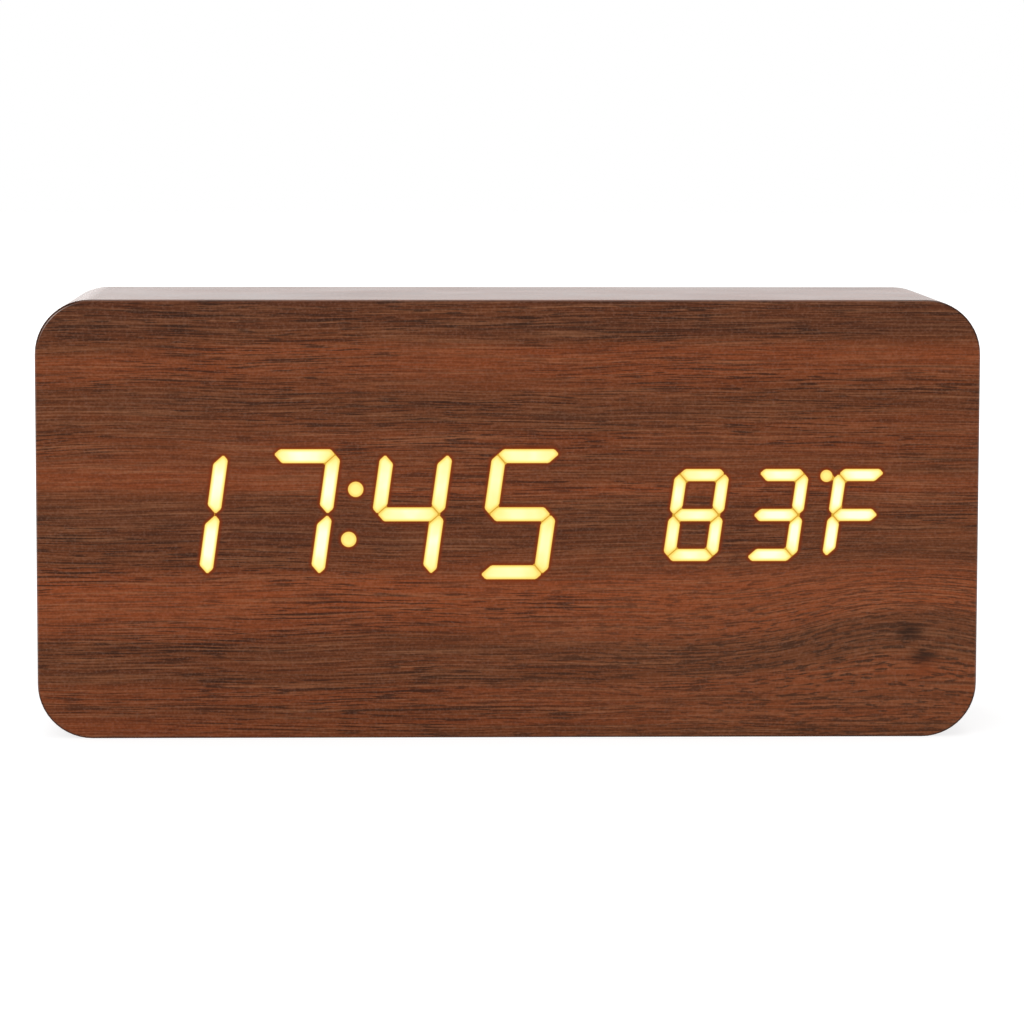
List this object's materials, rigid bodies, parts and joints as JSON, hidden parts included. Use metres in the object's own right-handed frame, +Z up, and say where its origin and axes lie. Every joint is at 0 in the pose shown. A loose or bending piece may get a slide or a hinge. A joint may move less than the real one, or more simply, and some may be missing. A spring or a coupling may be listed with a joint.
{
  "type": "digital desk clock",
  "caption": "Rounded block desk clock wrapped in walnut-look film, leaning bar digits glowing through the front, with a rear battery door, push buttons and power socket.",
  "frame": {"origin": "centre of the flat base, on the surface that the clock stands on", "axes": "+X to the right seen from the front, +Y from the display to the rear cover, +Z up"},
  "size_m": [0.15, 0.045, 0.07],
  "materials": {
    "walnut_film": "satin printed walnut film",
    "wrapped_board": "fibreboard under a satin printed walnut film",
    "lit_segment": "lit from behind",
    "display_white": "matt moulded",
    "clear_resin": "cast resin",
    "led_chip": "phosphor",
    "circuit_board": "solder mask",
    "plated_steel": "zinc plated",
    "dark_steel": "black oxide",
    "chip_black": "moulded epoxy",
    "crystal_can": "drawn can",
    "capacitor_can": "drawn can",
    "cover_plastic": "fine spark texture",
    "nickel_strip": "nickel plated",
    "black_wire": "satin",
    "red_wire": "satin",
    "switch_housing": "moulded",
    "plunger_plastic": "moulded",
    "button_plastic": "satin",
    "socket_steel": "tin plated",
    "buzzer_black": "moulded",
    "microphone_can": "drawn can",
    "sensor_bead": "dipped",
    "header_white": "moulded",
    "ribbon_grey": "satin"
  },
  "bodies": {
    "clock": {"front_veneer": "walnut_film", "rear_veneer": "walnut_film", "case_body": "wrapped_board", "glowing_digits": "lit_segment", "time_display_shell": "display_white", "temperature_display_shell": "display_white", "time_segment_windows": "clear_resin", "temperature_segment_windows": "clear_resin", "segment_leds": "led_chip", "display_board": "circuit_board", "button_board": "circuit_board", "display_board_screws": "plated_steel", "button_board_screws": "plated_steel", "cover_screws": "dark_steel", "controller_chip": "chip_black", "driver_chips": "chip_black", "clock_crystal": "crystal_can", "smoothing_capacitor": "capacitor_can", "rear_cover": "cover_plastic", "battery_springs": "nickel_strip", "battery_plates": "nickel_strip", "negative_wire": "black_wire", "positive_wire": "red_wire", "switch_bodies": "switch_housing", "power_socket_shell": "socket_steel", "power_socket_insert": "chip_black", "buzzer": "buzzer_black", "microphone": "microphone_can", "temperature_sensor": "sensor_bead", "display_header": "header_white", "button_header": "header_white", "link_cable": "ribbon_grey"},
    "battery_door": {"battery_door": "cover_plastic"},
    "set_button": {"set_button": "button_plastic", "set_plunger": "plunger_plastic"},
    "up_button": {"up_button": "button_plastic", "up_plunger": "plunger_plastic"},
    "down_button": {"down_button": "button_plastic", "down_plunger": "plunger_plastic"}
  },
  "joints": [
    {"name": "battery_door_hinge", "type": "hinge", "parent": "clock", "child": "battery_door", "pos_m": [0.03235, 0.021, 0.0162], "axis": [-1, 0, 0], "range_deg": [0, 80]},
    {"name": "set_press", "type": "slide", "parent": "clock", "child": "set_button", "axis": [0, -1, 0], "range_m": [0, 0.0005], "stiffness_N_per_m": 200, "springref_m": -0.004},
    {"name": "up_press", "type": "slide", "parent": "clock", "child": "up_button", "axis": [0, -1, 0], "range_m": [0, 0.0005], "stiffness_N_per_m": 200, "springref_m": -0.004},
    {"name": "down_press", "type": "slide", "parent": "clock", "child": "down_button", "axis": [0, -1, 0], "range_m": [0, 0.0005], "stiffness_N_per_m": 200, "springref_m": -0.004}
  ]
}
